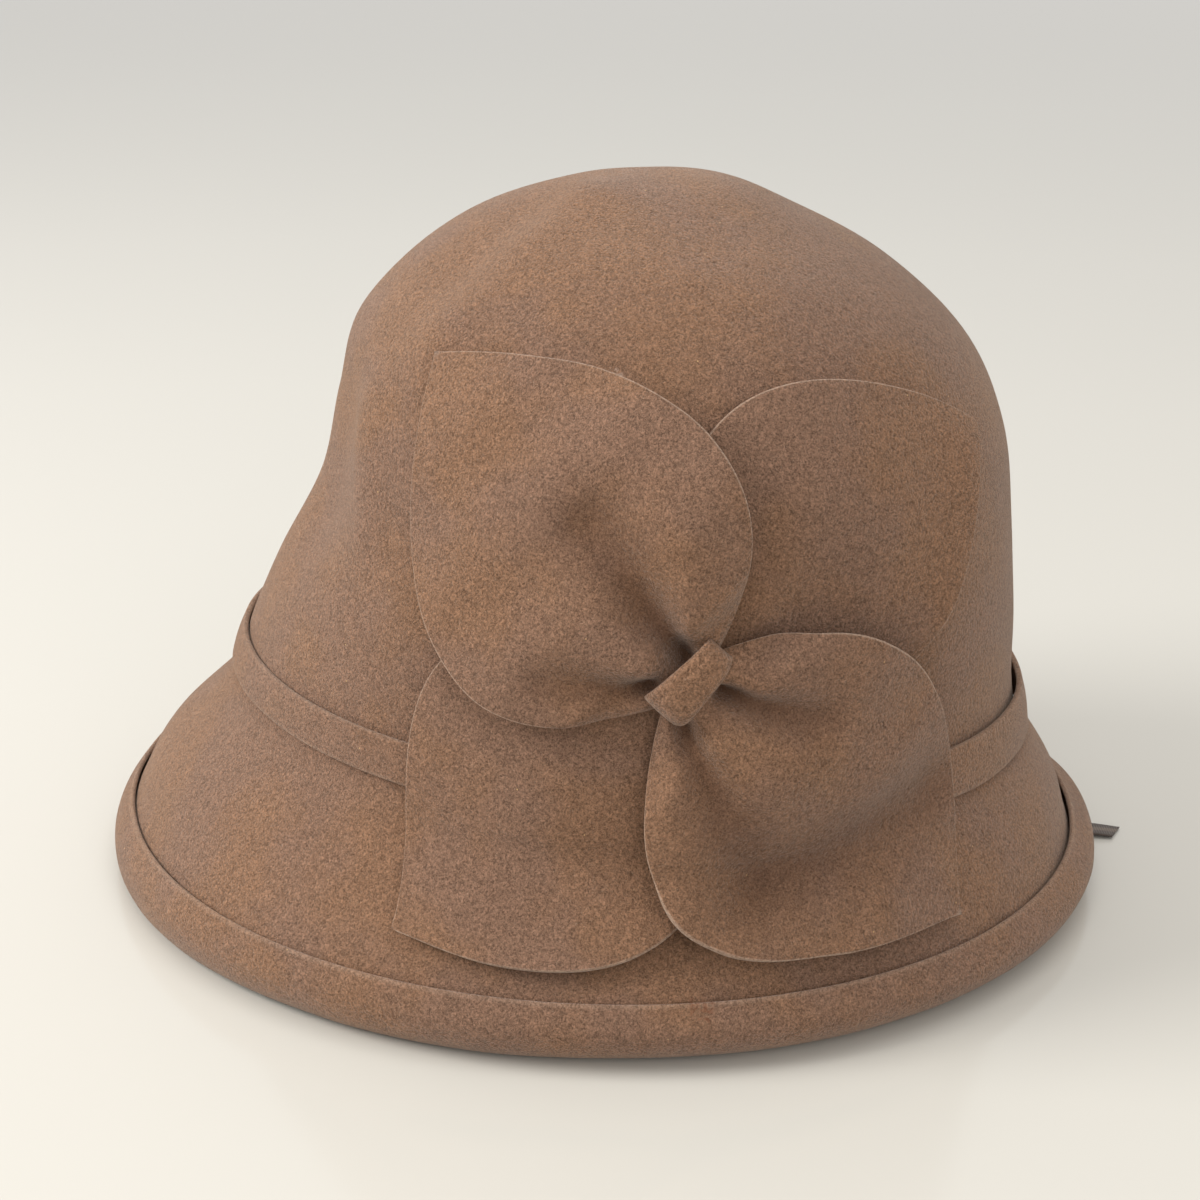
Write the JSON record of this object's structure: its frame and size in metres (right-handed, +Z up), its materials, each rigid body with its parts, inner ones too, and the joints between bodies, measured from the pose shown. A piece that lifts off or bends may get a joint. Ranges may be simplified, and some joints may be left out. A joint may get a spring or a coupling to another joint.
{
  "type": "cloche hat",
  "caption": "Felt cloche hat with a round crown, a narrow felt band, a down-turned brim with its edge turned up, and a large pinched leaf bow at one side.",
  "frame": {"origin": "middle of the box of the hat without its loose tie, on the surface that the brim rests on", "axes": "+Z up, through the crown; -Y towards the wearer's front and +Y towards the back; +X towards the side with the bow"},
  "size_m": [0.2322, 0.2713, 0.1796],
  "materials": {
    "felt": "soft taupe-brown wool felt, matt with a fine pale nap",
    "ribbon": "dark brown woven ribbon with a slight sheen"
  },
  "bodies": {
    "root": {"hat_body": "felt", "band": "felt", "under_bow": "felt", "top_bow": "felt", "knot": "felt", "tie_ribbon": "ribbon"}
  },
  "joints": []
}
